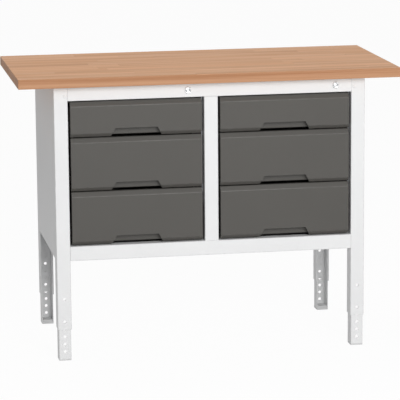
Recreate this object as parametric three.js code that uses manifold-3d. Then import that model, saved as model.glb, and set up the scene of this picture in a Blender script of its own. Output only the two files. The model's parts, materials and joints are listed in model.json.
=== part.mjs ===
// Jeweller's bench: a wooden worktop on a steel frame with two banks of drawers
// and four telescoping legs. Millimetres, +X to the right, +Y to the back, +Z up.
// The origin is on the floor under the middle of the worktop.
import * as THREE from "three";
import { mergeVertices } from "three/addons/utils/BufferGeometryUtils.js";
import Module from "manifold-3d";

const wasm = await Module();
wasm.setup();

// Worktop
const WIDTH = 1250;
const DEPTH = 600;
const HEIGHT = 930;              // floor to the worktop's upper face with the legs fully out
const TOP_THICKNESS = 30;
const TOP_EASE = 2;              // small chamfer along the worktop's edges

// Steel frame under the worktop
const SIDE_OVERHANG = 115;
const FRONT_OVERHANG = 32;
const BACK_OVERHANG = 18;
const POST_WIDTH = 45;
const POST_DEPTH = 50;
const POST_WALL = 2;
const POST_END = 104;            // floor to the lower end of the posts
const RAIL_HEIGHT = 47;
const RAIL_DEPTH = 34;
const UNDER_CLEARANCE = 331;     // floor to the lower edge of the cabinet
const SHEET = 1.5;               // sheet thickness of rails, panels and drawers
const PANEL_LIP = 25;            // folded edges of the side panels
const LINER_LIP = 15;            // folded edges of the liners
const BASE_LIP = 10;             // folded edges of the base panel

// Telescoping legs
const LEG_TRAVEL = 100;
const LEG_CLEARANCE = 0.5;       // between leg and post, all round
const LEG_WALL = 2;
const LEG_SETBACK = 3.5;         // leg's flanges end this far inside the post's
const LEG_ABOVE_CLAMP = 45;
const FOOT_SOLE = 6;
const FOOT_PLUG = 8;             // height of the foot's plug inside the leg
const FOOT_CLEARANCE = 0.3;
const HOLE_RADIUS = 5;
const HOLE_PITCH = 25;
const FIRST_HOLE = 30;           // floor to the lowest index hole
const LEG_HOLES = 12;
const POST_HOLES = [4, 7];       // which of the leg's holes, counted from 0, show through the post

// Clamp bolts that pinch leg and post together
const BOLT_RADIUS = 4;
const BOLT_HEAD_RADIUS = 7;
const BOLT_HEAD = 5.5;
const BOLT_END = 4;              // thread showing past the nut
const NUT_HEIGHT = 6.5;
const BOLT_CLEARANCE = 0.4;

// Drawers
const DRAWER_LEVELS = [
  { level: "bottom", share: 3 },
  { level: "middle", share: 3 },
  { level: "top", share: 2 },
];
const FRONT_SIDE_GAP = 7.5;
const FRONT_END_GAP = 4;         // above the top front and below the bottom front
const SEAM_GAP = 3;              // between two fronts
const FRONT_DEPTH = 22;
const BEVEL_DEPTH = 10;
const TOP_BEVEL = 15;
const BOTTOM_BEVEL = 12;
const GRIP_HEIGHT = 27;          // finger cut-out in the lower edge of a front
const GRIP_TOP_WIDTH = 137;
const GRIP_BOTTOM_WIDTH = 166;
const TRAY_BACK_GAP = 26.5;      // tray to the back panel
const TRAY_LIFT = 4;             // tray above the lower edge of its front
const TRAY_DROP = 22;            // tray below the upper edge of its front

// Runners
const RUNNER_SPACE = 13;         // between tray and cabinet wall
const RUNNER_TRAY_GAP = 1.5;
const RUNNER_BEHIND_BAR = 7.6;
const RUNNER_CLEARANCE = 0.3;
const FLANGE_SPAN = 24;          // over the two flanges that slide in a runner
const FLANGE_LIFT = 10;          // flanges above the tray's floor

// Locks
const LOCK_INSET = 53;           // from the right edge of each opening
const BEZEL_RADIUS = 11;
const BEZEL_FRONT_RADIUS = 10;
const BEZEL_PROUD = 3;
const LOCK_RADIUS = 9;
const LOCK_TO_BAR = 6;           // lock's body ends this far in front of the rail's back edge
const LOCK_CLEARANCE = 0.3;
const BARREL_RADIUS = 6;
const BARREL_PROUD = 2.5;
const KEY_SLOT_WIDTH = 2;
const KEY_SLOT_LENGTH = 8;
const KEY_SLOT_DEPTH = 6;
const CRANK_RADIUS = 8;
const CRANK_ANGLE = THREE.MathUtils.degToRad(45);  // pin below the barrel's axis when unlocked
const CRANK_DISC_RADIUS = 11;
const CRANK_DISC = 2;
const PIN_RADIUS = 2.5;

// Locking bars
const BAR_GAP = 0.4;             // between bar and cabinet wall, and behind the top rail
const BAR_THICKNESS = 3;
const BAR_WIDTH = 16;
const BAR_SLOT_CLEARANCE = 0.6;
const BAR_END = 6;               // bar below its lowest tab and arm past the pin's slot
const BAR_CLEARANCE = 1;         // between the bar's strip and what slides past it
const TAB_TRAY_GAP = 4;
const TAB_HEIGHT = 12.5;
const TAB_CLEARANCE = 1.5;       // tab below the catch when unlocked, and always in front of it
const CATCH_HEIGHT = 10;
const CATCH_THICKNESS = 2;
const CATCH_BELOW_RIM = 12;

const ROUND_SIDES = 24;
const HOLE_SIDES = 12;
const HEX_SIDES = 6;
const PASS = 1;                  // how far a cutter runs past what it cuts

// Levels, planes and lengths that follow from the sizes above
const TOP_UNDERSIDE = HEIGHT - TOP_THICKNESS;
const FRONT_Y = -DEPTH / 2 + FRONT_OVERHANG;
const BACK_Y = DEPTH / 2 - BACK_OVERHANG;
const FRAME_X = WIDTH / 2 - SIDE_OVERHANG;
const BAY_OUTER_X = FRAME_X - POST_WIDTH;
const BAY_INNER_X = POST_WIDTH / 2;
const BAY_WIDTH = BAY_OUTER_X - BAY_INNER_X;
const BAY_CENTRE_X = (BAY_OUTER_X + BAY_INNER_X) / 2;
const OPENING_TOP = TOP_UNDERSIDE - RAIL_HEIGHT;
const OPENING_BOTTOM = UNDER_CLEARANCE + RAIL_HEIGHT;
const CABINET_HEIGHT = TOP_UNDERSIDE - UNDER_CLEARANCE;
const RAIL_LENGTH = 2 * BAY_OUTER_X;
const WALL_FRONT = FRONT_Y + POST_DEPTH;
const WALL_BACK = BACK_Y - POST_DEPTH;
const WALL_LENGTH = WALL_BACK - WALL_FRONT;
const PANEL_FRONT = BACK_Y - SHEET;
const LEG_HALF = POST_WIDTH / 2 - POST_WALL - LEG_CLEARANCE;
const LEG_WEB = POST_WALL + LEG_CLEARANCE;
const LEG_LIP = POST_DEPTH - LEG_SETBACK;
const CLAMP_Z = UNDER_CLEARANCE + RAIL_HEIGHT / 2;
const TRAY_WIDTH = BAY_WIDTH - 2 * RUNNER_SPACE;
const TRAY_LENGTH = PANEL_FRONT - TRAY_BACK_GAP - FRONT_Y - FRONT_DEPTH;
const LOCK_LENGTH = RAIL_DEPTH - LOCK_TO_BAR;
const LOCK_X = BAY_WIDTH / 2 - LOCK_INSET;
const LOCK_Z = OPENING_TOP + RAIL_HEIGHT / 2;
const BAR_FRONT = RAIL_DEPTH + BAR_GAP;                 // behind the front of the frame
const BAR_SPACE = RUNNER_SPACE - BAR_GAP - BAR_THICKNESS;  // left between bar and tray
const TAB_REACH = BAR_SPACE - TAB_TRAY_GAP;
const FLANGE_REACH = BAR_SPACE - BAR_CLEARANCE;
const RUNNER_REACH = RUNNER_SPACE - RUNNER_TRAY_GAP;
const RUNNER_SETBACK = BAR_FRONT + BAR_WIDTH + RUNNER_BEHIND_BAR;
const CATCH_FRONT = BAR_FRONT + BAR_THICKNESS + TAB_CLEARANCE;
const PIN_X = -CRANK_RADIUS * Math.cos(CRANK_ANGLE);
const PIN_Z = -CRANK_RADIUS * Math.sin(CRANK_ANGLE);

// Shapes: each is a closed solid that can be joined and cut.

function solid(geometry) {
  const bare = new THREE.BufferGeometry();
  bare.setAttribute("position", geometry.getAttribute("position"));
  bare.setIndex(geometry.index);
  const merged = mergeVertices(bare);
  return new wasm.Manifold(new wasm.Mesh({
    numProp: 3,
    vertProperties: new Float32Array(merged.getAttribute("position").array),
    triVerts: new Uint32Array(merged.index.array),
  }));
}

function block([x0, x1], [y0, y1], [z0, z1]) {
  const geometry = new THREE.BoxGeometry(x1 - x0, y1 - y0, z1 - z0);
  geometry.translate((x0 + x1) / 2, (y0 + y1) / 2, (z0 + z1) / 2);
  return solid(geometry);
}

const X = new THREE.Vector3(1, 0, 0);
const Y = new THREE.Vector3(0, 1, 0);
const Z = new THREE.Vector3(0, 0, 1);

// An outline [u, v] laid along the two axes given and drawn out along their cross product.
function prism(outline, uAxis, vAxis, start, end) {
  const shape = new THREE.Shape(outline.map(([u, v]) => new THREE.Vector2(u, v)));
  const geometry = new THREE.ExtrudeGeometry(shape, { depth: end - start, bevelEnabled: false });
  const along = new THREE.Vector3().crossVectors(uAxis, vAxis);
  geometry.applyMatrix4(new THREE.Matrix4().makeBasis(uAxis, vAxis, along));
  geometry.translate(along.x * start, along.y * start, along.z * start);
  return solid(geometry);
}

const prismX = (yzOutline, x0, x1) => prism(yzOutline, Y, Z, x0, x1);
const prismY = (xzOutline, y0, y1) => prism(xzOutline, X, Z, -y1, -y0);
const prismZ = (xyOutline, z0, z1) => prism(xyOutline, X, Y, z0, z1);

// A C section: web from a0 to a1 at the level `web`, flanges reaching to the level `lip`.
function channel(a0, a1, web, lip, wall) {
  const inside = web + Math.sign(lip - web) * wall;
  return [
    [a0, web], [a1, web], [a1, lip], [a1 - wall, lip],
    [a1 - wall, inside], [a0 + wall, inside], [a0 + wall, lip], [a0, lip],
  ];
}

const swapped = (outline) => outline.map(([a, b]) => [b, a]);
const ordered = (a, b) => (a < b ? [a, b] : [b, a]);

function rodX(radius, from, to, y, z, sides) {
  const [x0, x1] = ordered(from, to);
  const geometry = new THREE.CylinderGeometry(radius, radius, x1 - x0, sides);
  geometry.rotateZ(Math.PI / 2);
  geometry.translate((x0 + x1) / 2, y, z);
  return solid(geometry);
}

function rodY(radius, from, to, x, z, sides, frontRadius = radius) {
  const [y0, y1] = ordered(from, to);
  const geometry = new THREE.CylinderGeometry(radius, frontRadius, y1 - y0, sides);
  geometry.translate(x, (y0 + y1) / 2, z);
  return solid(geometry);
}

// Materials: colour, roughness, metalness

const LIGHT_PAINT = [0xdedfe0, 0.5, 0.0];
const DARK_PAINT = [0x5d5b58, 0.5, 0.0];
const BEECH = [0xcba280, 0.55, 0.0];
const ZINC = [0xb4b7ba, 0.35, 0.9];
const CHROME = [0xd5d7d9, 0.15, 1.0];
const PLASTIC = [0x8a8c8e, 0.6, 0.0];

function piece(name, body, [color, roughness, metalness], place = [0, 0, 0]) {
  const { vertProperties, triVerts } = body.getMesh();
  const geometry = new THREE.BufferGeometry();
  geometry.setAttribute("position", new THREE.BufferAttribute(new Float32Array(vertProperties), 3));
  geometry.setIndex(new THREE.BufferAttribute(new Uint32Array(triVerts), 1));
  geometry.computeVertexNormals();
  const mesh = new THREE.Mesh(geometry, new THREE.MeshStandardMaterial({ color, roughness, metalness }));
  mesh.name = name;
  mesh.position.set(...place);
  return mesh;
}

function groupAt(...place) {
  const group = new THREE.Group();
  group.position.set(...place);
  return group;
}

// Worktop: a board of glued staves with eased edges. Its own origin is under its middle.
function worktop() {
  const halfWidth = WIDTH / 2 - TOP_EASE;
  const halfDepth = DEPTH / 2 - TOP_EASE;
  const shape = new THREE.Shape([
    new THREE.Vector2(-halfWidth, -halfDepth),
    new THREE.Vector2(halfWidth, -halfDepth),
    new THREE.Vector2(halfWidth, halfDepth),
    new THREE.Vector2(-halfWidth, halfDepth),
  ]);
  const geometry = new THREE.ExtrudeGeometry(shape, {
    depth: TOP_THICKNESS - 2 * TOP_EASE,
    bevelThickness: TOP_EASE,
    bevelSize: TOP_EASE,
    bevelSegments: 1,
  });
  geometry.translate(0, 0, TOP_EASE);
  return solid(geometry);
}

// Corners: post, leg, foot and clamp bolt. A corner's own origin is on the floor, at the middle of
// the post's web. `inward` is +1 where the channels open to the back and -1 where they open to the
// front; `middleward` is the X direction from the corner to the middle of the bench.
const indexHoleZ = (count) => FIRST_HOLE + count * HOLE_PITCH;

function indexHole(z) {
  const reach = LEG_WEB + LEG_WALL + PASS;
  return rodY(HOLE_RADIUS, -reach, reach, 0, z, HOLE_SIDES);
}

function post(inward, middleward) {
  const outline = channel(-POST_WIDTH / 2, POST_WIDTH / 2, 0, inward * POST_DEPTH, POST_WALL);
  let body = prismZ(outline, POST_END, TOP_UNDERSIDE);
  for (const count of POST_HOLES) {
    body = body.subtract(indexHole(indexHoleZ(count)));
  }
  const flange = POST_WIDTH / 2;
  const boltHole = rodX(
    BOLT_RADIUS + BOLT_CLEARANCE, middleward * (flange - POST_WALL - PASS), middleward * (flange + PASS),
    inward * POST_DEPTH / 2, CLAMP_Z, HOLE_SIDES,
  );
  return body.subtract(boltHole);
}

function leg(inward, middleward) {
  const outline = channel(-LEG_HALF, LEG_HALF, inward * LEG_WEB, inward * LEG_LIP, LEG_WALL);
  let body = prismZ(outline, FOOT_SOLE, CLAMP_Z + LEG_ABOVE_CLAMP);
  for (let count = 0; count < LEG_HOLES; count += 1) {
    body = body.subtract(indexHole(indexHoleZ(count)));
  }
  const slotHalf = BOLT_RADIUS + BOLT_CLEARANCE;
  const slotY = inward * POST_DEPTH / 2;
  const slot = block(
    ordered(middleward * (LEG_HALF - LEG_WALL - PASS), middleward * (LEG_HALF + PASS)),
    [slotY - slotHalf, slotY + slotHalf],
    [CLAMP_Z - LEG_TRAVEL - slotHalf, CLAMP_Z + slotHalf],
  );
  return body.subtract(slot);
}

function foot(inward) {
  const plugHalf = LEG_HALF - LEG_WALL - FOOT_CLEARANCE;
  const plugWeb = LEG_WEB + LEG_WALL + FOOT_CLEARANCE;
  const sole = block([-LEG_HALF, LEG_HALF], ordered(inward * LEG_WEB, inward * LEG_LIP), [0, FOOT_SOLE]);
  const plug = block(
    [-plugHalf, plugHalf], ordered(inward * plugWeb, inward * (LEG_LIP - LEG_WALL)),
    [FOOT_SOLE / 2, FOOT_SOLE + FOOT_PLUG],
  );
  return sole.add(plug);
}

// Bolt through the post's flange and the leg's slot; its own origin is under the head.
function clampBolt(middleward) {
  const rod = (radius, from, to, sides) => rodX(radius, middleward * from, middleward * to, 0, 0, sides);
  const nutStart = POST_WALL + LEG_CLEARANCE + LEG_WALL + BOLT_CLEARANCE;
  const nutEnd = nutStart + NUT_HEIGHT;
  const head = rod(BOLT_HEAD_RADIUS, 0, BOLT_HEAD, HEX_SIDES);
  const shank = rod(BOLT_RADIUS, BOLT_HEAD / 2, -nutEnd - BOLT_END, HOLE_SIDES);
  const nut = rod(BOLT_HEAD_RADIUS, -nutStart, -nutEnd, HEX_SIDES);
  return head.add(shank).add(nut);
}

function corner(name, middleward, webY, inward) {
  const group = groupAt(-middleward * (FRAME_X - POST_WIDTH / 2), webY, 0);
  const boltPlace = [middleward * POST_WIDTH / 2, inward * POST_DEPTH / 2, CLAMP_Z];
  group.add(
    piece(`post_${name}`, post(inward, middleward), LIGHT_PAINT),
    piece(`leg_${name}`, leg(inward, middleward), LIGHT_PAINT),
    piece(`foot_${name}`, foot(inward), PLASTIC),
    piece(`clamp_bolt_${name}`, clampBolt(middleward), ZINC, boltPlace),
  );
  return group;
}

// Face frame: rails between the posts and a centre post between the rails. A rail's own origin is
// at the middle of its length, at the lower edge of its web.
function rail(inward) {
  const section = swapped(channel(0, RAIL_HEIGHT, 0, inward * RAIL_DEPTH, SHEET));
  return prismX(section, -RAIL_LENGTH / 2, RAIL_LENGTH / 2);
}

function topRail() {
  const lockHole = (x) => rodY(
    LOCK_RADIUS + LOCK_CLEARANCE, -PASS, SHEET + PASS, x, RAIL_HEIGHT / 2, ROUND_SIDES,
  );
  return rail(1).subtract(lockHole(LOCK_X - BAY_CENTRE_X)).subtract(lockHole(LOCK_X + BAY_CENTRE_X));
}

function centrePost() {
  const outline = channel(-POST_WIDTH / 2, POST_WIDTH / 2, 0, POST_DEPTH, POST_WALL);
  return prismZ(outline, OPENING_BOTTOM, OPENING_TOP);
}

// Cabinet walls: folded sheets between the posts. Outer panels fold inwards, liners outwards.
function wallSheet(lip) {
  return prismY(swapped(channel(0, CABINET_HEIGHT, 0, lip, SHEET)), 0, WALL_LENGTH);
}

function basePanel() {
  const section = channel(-BAY_OUTER_X, BAY_OUTER_X, 0, BASE_LIP, SHEET);
  return prismY(section, FRONT_Y + RAIL_DEPTH, PANEL_FRONT);
}

function partition() {
  const outline = channel(-BAY_INNER_X, BAY_INNER_X, PANEL_FRONT, WALL_FRONT, SHEET);
  return prismZ(outline, UNDER_CLEARANCE + SHEET, OPENING_TOP);
}

function backPanel() {
  return block([-BAY_OUTER_X, BAY_OUTER_X], [0, SHEET], [0, CABINET_HEIGHT]);
}

// Drawers: the fronts share the height of the opening. A drawer's own origin is at the middle of
// the lower edge of its front.
function drawerPlaces() {
  const gaps = 2 * FRONT_END_GAP + (DRAWER_LEVELS.length - 1) * SEAM_GAP;
  const shares = DRAWER_LEVELS.reduce((sum, { share }) => sum + share, 0);
  const unit = (OPENING_TOP - OPENING_BOTTOM - gaps) / shares;
  let bottom = OPENING_BOTTOM + FRONT_END_GAP;
  return DRAWER_LEVELS.map(({ level, share }) => {
    const place = { level, bottom, height: share * unit };
    bottom += place.height + SEAM_GAP;
    return place;
  });
}

const catchBottom = (height) => height - TRAY_DROP - CATCH_BELOW_RIM;

// Front: a folded pan, bevelled along the top and bottom, with a finger cut-out below.
function drawerFront(height) {
  const profile = (inset, back) => [
    [back, inset],
    [BEVEL_DEPTH + inset, inset],
    [inset, BOTTOM_BEVEL + inset],
    [inset, height - TOP_BEVEL - inset],
    [BEVEL_DEPTH + inset, height - inset],
    [back, height - inset],
  ];
  const half = BAY_WIDTH / 2 - FRONT_SIDE_GAP;
  const skin = prismX(profile(0, FRONT_DEPTH), -half, half);
  const hollow = prismX(profile(SHEET, FRONT_DEPTH + PASS), -half + SHEET, half - SHEET);
  const flare = (GRIP_BOTTOM_WIDTH - GRIP_TOP_WIDTH) / 2 * (PASS / GRIP_HEIGHT);
  const grip = prismY([
    [-GRIP_BOTTOM_WIDTH / 2 - flare, -PASS],
    [GRIP_BOTTOM_WIDTH / 2 + flare, -PASS],
    [GRIP_TOP_WIDTH / 2, GRIP_HEIGHT],
    [-GRIP_TOP_WIDTH / 2, GRIP_HEIGHT],
  ], -PASS, FRONT_DEPTH + PASS);
  return skin.subtract(hollow).subtract(grip);
}

// Tray: an open box with two sliding flanges on each side and a lock catch on the right.
function drawerTray(height) {
  const half = TRAY_WIDTH / 2;
  const length = [FRONT_DEPTH, FRONT_DEPTH + TRAY_LENGTH];
  const rim = height - TRAY_DROP;
  const outside = block([-half, half], length, [TRAY_LIFT, rim]);
  const inside = block(
    [-half + SHEET, half - SHEET], [length[0] + SHEET, length[1] - SHEET], [TRAY_LIFT + SHEET, rim + PASS],
  );
  let body = outside.subtract(inside);
  const lowFlange = TRAY_LIFT + FLANGE_LIFT;
  const highFlange = lowFlange + FLANGE_SPAN - SHEET;
  for (const side of [-1, 1]) {
    const reach = ordered(side * (half - SHEET / 2), side * (half + FLANGE_REACH));
    for (const z of [lowFlange, highFlange]) {
      body = body.add(block(reach, length, [z, z + SHEET]));
    }
  }
  const hook = block(
    [half - SHEET / 2, half + FLANGE_REACH], [CATCH_FRONT, CATCH_FRONT + CATCH_THICKNESS],
    [catchBottom(height), catchBottom(height) + CATCH_HEIGHT],
  );
  return body.add(hook);
}

// Runner: a C section on the cabinet wall, open to the drawer, round the tray's two flanges.
function runner(towardsDrawer) {
  const margin = RUNNER_CLEARANCE + SHEET;
  const section = channel(-margin, FLANGE_SPAN + margin, 0, towardsDrawer * RUNNER_REACH, SHEET);
  return prismY(swapped(section), RUNNER_SETBACK, WALL_BACK - FRONT_Y);
}

// Lock: a fixed housing in the top rail, a barrel that turns in it with a crank pin behind, and a
// locking bar that the pin lifts. Their own origin is on the lock's axis, at the rail's face.
function lockHousing() {
  const bezel = rodY(BEZEL_RADIUS, -BEZEL_PROUD, 0, 0, 0, ROUND_SIDES, BEZEL_FRONT_RADIUS);
  const shell = rodY(LOCK_RADIUS, -BEZEL_PROUD / 2, LOCK_LENGTH, 0, 0, ROUND_SIDES);
  const boreRadius = BARREL_RADIUS + LOCK_CLEARANCE;
  const bore = rodY(boreRadius, -BEZEL_PROUD - PASS, LOCK_LENGTH + PASS, 0, 0, ROUND_SIDES);
  return bezel.add(shell).subtract(bore);
}

function lockBarrel() {
  const discFront = LOCK_LENGTH + LOCK_CLEARANCE;
  const discBack = discFront + CRANK_DISC;
  const plug = rodY(BARREL_RADIUS, -BARREL_PROUD, discBack, 0, 0, ROUND_SIDES);
  const disc = rodY(CRANK_DISC_RADIUS, discFront, discBack, 0, 0, ROUND_SIDES);
  const pin = rodY(PIN_RADIUS, discFront, BAR_FRONT + BAR_THICKNESS + PASS, PIN_X, PIN_Z, HOLE_SIDES);
  const keySlot = block(
    [-KEY_SLOT_WIDTH / 2, KEY_SLOT_WIDTH / 2], [-BARREL_PROUD - PASS, -BARREL_PROUD + KEY_SLOT_DEPTH],
    [-KEY_SLOT_LENGTH / 2, KEY_SLOT_LENGTH / 2],
  );
  return plug.add(disc).add(pin).subtract(keySlot);
}

// Bar: an arm on the crank pin, a strip down the cabinet wall and a tab for each drawer.
function lockingBar(places) {
  const stripX = [LOCK_INSET - BAR_GAP - BAR_THICKNESS, LOCK_INSET - BAR_GAP];
  const plateY = [BAR_FRONT, BAR_FRONT + BAR_THICKNESS];
  const armZ = [PIN_Z - BAR_WIDTH / 2, PIN_Z + BAR_WIDTH / 2];
  const slotHalf = PIN_RADIUS + BAR_SLOT_CLEARANCE;
  const slotX = [-CRANK_RADIUS - slotHalf, PIN_X + slotHalf];
  const tabTop = ({ bottom, height }) => bottom + catchBottom(height) - TAB_CLEARANCE - LOCK_Z;
  const tabTops = places.map(tabTop);
  const barEnd = Math.min(...tabTops) - TAB_HEIGHT - BAR_END;
  const arm = block([slotX[0] - BAR_END, stripX[1]], plateY, armZ);
  const strip = block(stripX, [BAR_FRONT, BAR_FRONT + BAR_WIDTH], [barEnd, armZ[1]]);
  let body = arm.add(strip);
  for (const top of tabTops) {
    body = body.add(block([stripX[0] - TAB_REACH, stripX[1]], plateY, [top - TAB_HEIGHT, top]));
  }
  const slot = block(slotX, [plateY[0] - PASS, plateY[1] + PASS], [PIN_Z - slotHalf, PIN_Z + slotHalf]);
  return body.subtract(slot);
}

function bay(side, centreX) {
  const group = groupAt(centreX, FRONT_Y, 0);
  const places = drawerPlaces();
  for (const { level, bottom, height } of places) {
    const name = `${side}_${level}`;
    const drawer = groupAt(0, 0, bottom);
    drawer.add(
      piece(`drawer_front_${name}`, drawerFront(height), DARK_PAINT),
      piece(`drawer_tray_${name}`, drawerTray(height), DARK_PAINT),
    );
    const runnerZ = bottom + TRAY_LIFT + FLANGE_LIFT;
    group.add(
      drawer,
      piece(`runner_${name}_l`, runner(1), ZINC, [-BAY_WIDTH / 2, 0, runnerZ]),
      piece(`runner_${name}_r`, runner(-1), ZINC, [BAY_WIDTH / 2, 0, runnerZ]),
    );
  }
  const lock = groupAt(LOCK_X, 0, LOCK_Z);
  lock.add(
    piece(`lock_housing_${side}`, lockHousing(), CHROME),
    piece(`lock_barrel_${side}`, lockBarrel(), CHROME),
    piece(`locking_bar_${side}`, lockingBar(places), ZINC),
  );
  group.add(lock);
  return group;
}

// The bench

const bench = new THREE.Group();
bench.add(
  piece("worktop", worktop(), BEECH, [0, 0, TOP_UNDERSIDE]),
  corner("front_left", 1, FRONT_Y, 1),
  corner("front_right", -1, FRONT_Y, 1),
  corner("rear_left", 1, BACK_Y, -1),
  corner("rear_right", -1, BACK_Y, -1),
  piece("rail_top", topRail(), LIGHT_PAINT, [0, FRONT_Y, OPENING_TOP]),
  piece("rail_bottom", rail(1), LIGHT_PAINT, [0, FRONT_Y, UNDER_CLEARANCE]),
  piece("rail_rear", rail(-1), LIGHT_PAINT, [0, PANEL_FRONT, OPENING_TOP]),
  piece("centre_post", centrePost(), LIGHT_PAINT, [0, FRONT_Y, 0]),
  piece("side_panel_left", wallSheet(PANEL_LIP), LIGHT_PAINT, [-FRAME_X, WALL_FRONT, UNDER_CLEARANCE]),
  piece("side_panel_right", wallSheet(-PANEL_LIP), LIGHT_PAINT, [FRAME_X, WALL_FRONT, UNDER_CLEARANCE]),
  piece("liner_left", wallSheet(-LINER_LIP), LIGHT_PAINT, [-BAY_OUTER_X, WALL_FRONT, UNDER_CLEARANCE]),
  piece("liner_right", wallSheet(LINER_LIP), LIGHT_PAINT, [BAY_OUTER_X, WALL_FRONT, UNDER_CLEARANCE]),
  piece("base_panel", basePanel(), LIGHT_PAINT, [0, 0, UNDER_CLEARANCE]),
  piece("partition", partition(), LIGHT_PAINT),
  piece("back_panel", backPanel(), LIGHT_PAINT, [0, PANEL_FRONT, UNDER_CLEARANCE]),
  bay("left", -BAY_CENTRE_X),
  bay("right", BAY_CENTRE_X),
);

export default bench;
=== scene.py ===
import json
import math

import bmesh
import bpy
from mathutils import Matrix, Vector


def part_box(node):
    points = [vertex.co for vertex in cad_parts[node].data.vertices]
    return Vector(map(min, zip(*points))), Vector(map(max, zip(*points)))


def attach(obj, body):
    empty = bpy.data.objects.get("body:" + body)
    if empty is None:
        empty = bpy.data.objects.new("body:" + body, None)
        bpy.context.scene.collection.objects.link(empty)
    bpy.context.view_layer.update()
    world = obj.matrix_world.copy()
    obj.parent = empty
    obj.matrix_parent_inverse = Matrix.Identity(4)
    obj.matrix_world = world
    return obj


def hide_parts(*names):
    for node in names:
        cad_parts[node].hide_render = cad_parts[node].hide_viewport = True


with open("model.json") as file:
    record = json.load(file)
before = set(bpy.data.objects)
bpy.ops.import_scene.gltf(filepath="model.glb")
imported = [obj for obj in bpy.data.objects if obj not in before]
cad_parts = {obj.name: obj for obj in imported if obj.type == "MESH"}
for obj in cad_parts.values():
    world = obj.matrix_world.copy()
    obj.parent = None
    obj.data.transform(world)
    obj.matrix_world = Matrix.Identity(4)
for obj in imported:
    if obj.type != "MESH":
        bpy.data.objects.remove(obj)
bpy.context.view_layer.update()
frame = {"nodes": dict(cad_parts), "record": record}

# Camera and studio: a long lens a little to the left of the bench and above its worktop, a pale
# floor, even light from all round, a large soft lamp in front to the right and one overhead.
camera_place = Vector((-1.349, -7.6045, 1.9767))
camera_yaw = math.radians(10.126)
camera_pitch = math.radians(11.101)
camera_roll = math.radians(-0.460)
camera_data = bpy.data.cameras.new("camera")
camera_data.sensor_width = 36.0
camera_data.lens = 210.47
camera_data.clip_end = 200.0
camera = bpy.data.objects.new("camera", camera_data)
bpy.context.scene.collection.objects.link(camera)
bpy.context.scene.camera = camera
look = Vector((
    math.sin(camera_yaw) * math.cos(camera_pitch),
    math.cos(camera_yaw) * math.cos(camera_pitch),
    -math.sin(camera_pitch),
))
level_right = Vector((math.cos(camera_yaw), -math.sin(camera_yaw), 0.0))
level_up = level_right.cross(look)
camera_right = math.cos(camera_roll) * level_right + math.sin(camera_roll) * level_up
camera_up = math.cos(camera_roll) * level_up - math.sin(camera_roll) * level_right
camera_turn = Matrix((camera_right, camera_up, -look)).transposed()
camera.matrix_world = Matrix.Translation(camera_place) @ camera_turn.to_4x4()

bpy.context.scene.view_settings.view_transform = "Standard"

world = bpy.data.worlds.new("studio_air")
bpy.context.scene.world = world
world.use_nodes = True
air = world.node_tree.nodes
air_links = world.node_tree.links
air.clear()
air_out = air.new("ShaderNodeOutputWorld")
air_mix = air.new("ShaderNodeMixShader")
air_light = air.new("ShaderNodeBackground")
air_light.inputs["Color"].default_value = (1.0, 1.0, 1.0, 1.0)
air_light.inputs["Strength"].default_value = 0.38
air_white = air.new("ShaderNodeBackground")
air_white.inputs["Color"].default_value = (1.0, 1.0, 1.0, 1.0)
air_white.inputs["Strength"].default_value = 1.0
air_ray = air.new("ShaderNodeLightPath")
seen_or_mirrored = air.new("ShaderNodeMath")
seen_or_mirrored.operation = "MAXIMUM"
seen_at_all = air.new("ShaderNodeMath")
seen_at_all.operation = "MAXIMUM"
air_links.new(air_ray.outputs["Is Camera Ray"], seen_or_mirrored.inputs[0])
air_links.new(air_ray.outputs["Is Glossy Ray"], seen_or_mirrored.inputs[1])
air_links.new(seen_or_mirrored.outputs[0], seen_at_all.inputs[0])
air_links.new(air_ray.outputs["Is Transmission Ray"], seen_at_all.inputs[1])
air_links.new(seen_at_all.outputs[0], air_mix.inputs[0])
air_links.new(air_light.outputs[0], air_mix.inputs[1])
air_links.new(air_white.outputs[0], air_mix.inputs[2])
air_links.new(air_mix.outputs[0], air_out.inputs["Surface"])


def soft_lamp(name, place, aim, size, power):
    """A round soft lamp, so many metres across and watts strong, that points at a place."""
    lamp_data = bpy.data.lights.new(name, "AREA")
    lamp_data.shape = "DISK"
    lamp_data.size = size
    lamp_data.energy = power
    lamp = bpy.data.objects.new(name, lamp_data)
    bpy.context.scene.collection.objects.link(lamp)
    turn = (aim - place).to_track_quat("-Z", "Y").to_matrix().to_4x4()
    lamp.matrix_world = Matrix.Translation(place) @ turn


soft_lamp("front_lamp", place=Vector((0.5, -5.8, 2.9)), aim=Vector((0.0, 0.0, 0.6)), size=3.5, power=215.0)
soft_lamp("top_lamp", place=Vector((-0.7, 0.7, 4.6)), aim=Vector((0.0, 0.1, 0.9)), size=2.4, power=28.0)

floor_mesh = bpy.data.meshes.new("studio_floor")
floor_reach = 40.0
floor_whiteness = 0.95
floor_mesh.from_pydata(
    [(-floor_reach, -floor_reach, 0), (floor_reach, -floor_reach, 0),
     (floor_reach, floor_reach, 0), (-floor_reach, floor_reach, 0)],
    [], [(0, 1, 2, 3)],
)
floor = bpy.data.objects.new("studio_floor", floor_mesh)
bpy.context.scene.collection.objects.link(floor)
floor_paint = bpy.data.materials.new("studio_floor_white")
floor_paint.use_nodes = True
paint_nodes = floor_paint.node_tree.nodes
paint_links = floor_paint.node_tree.links
floor_lit = paint_nodes["Principled BSDF"]
floor_lit.inputs["Base Color"].default_value = (0.93, 0.93, 0.93, 1.0)
floor_lit.inputs["Roughness"].default_value = 0.9
floor_lit.inputs["Specular IOR Level"].default_value = 0.0
floor_glow = paint_nodes.new("ShaderNodeEmission")
floor_ray = paint_nodes.new("ShaderNodeLightPath")
floor_share = paint_nodes.new("ShaderNodeMath")
floor_share.operation = "MULTIPLY"
floor_share.inputs[1].default_value = floor_whiteness
floor_mix = paint_nodes.new("ShaderNodeMixShader")
paint_links.new(floor_ray.outputs["Is Camera Ray"], floor_share.inputs[0])
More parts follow.
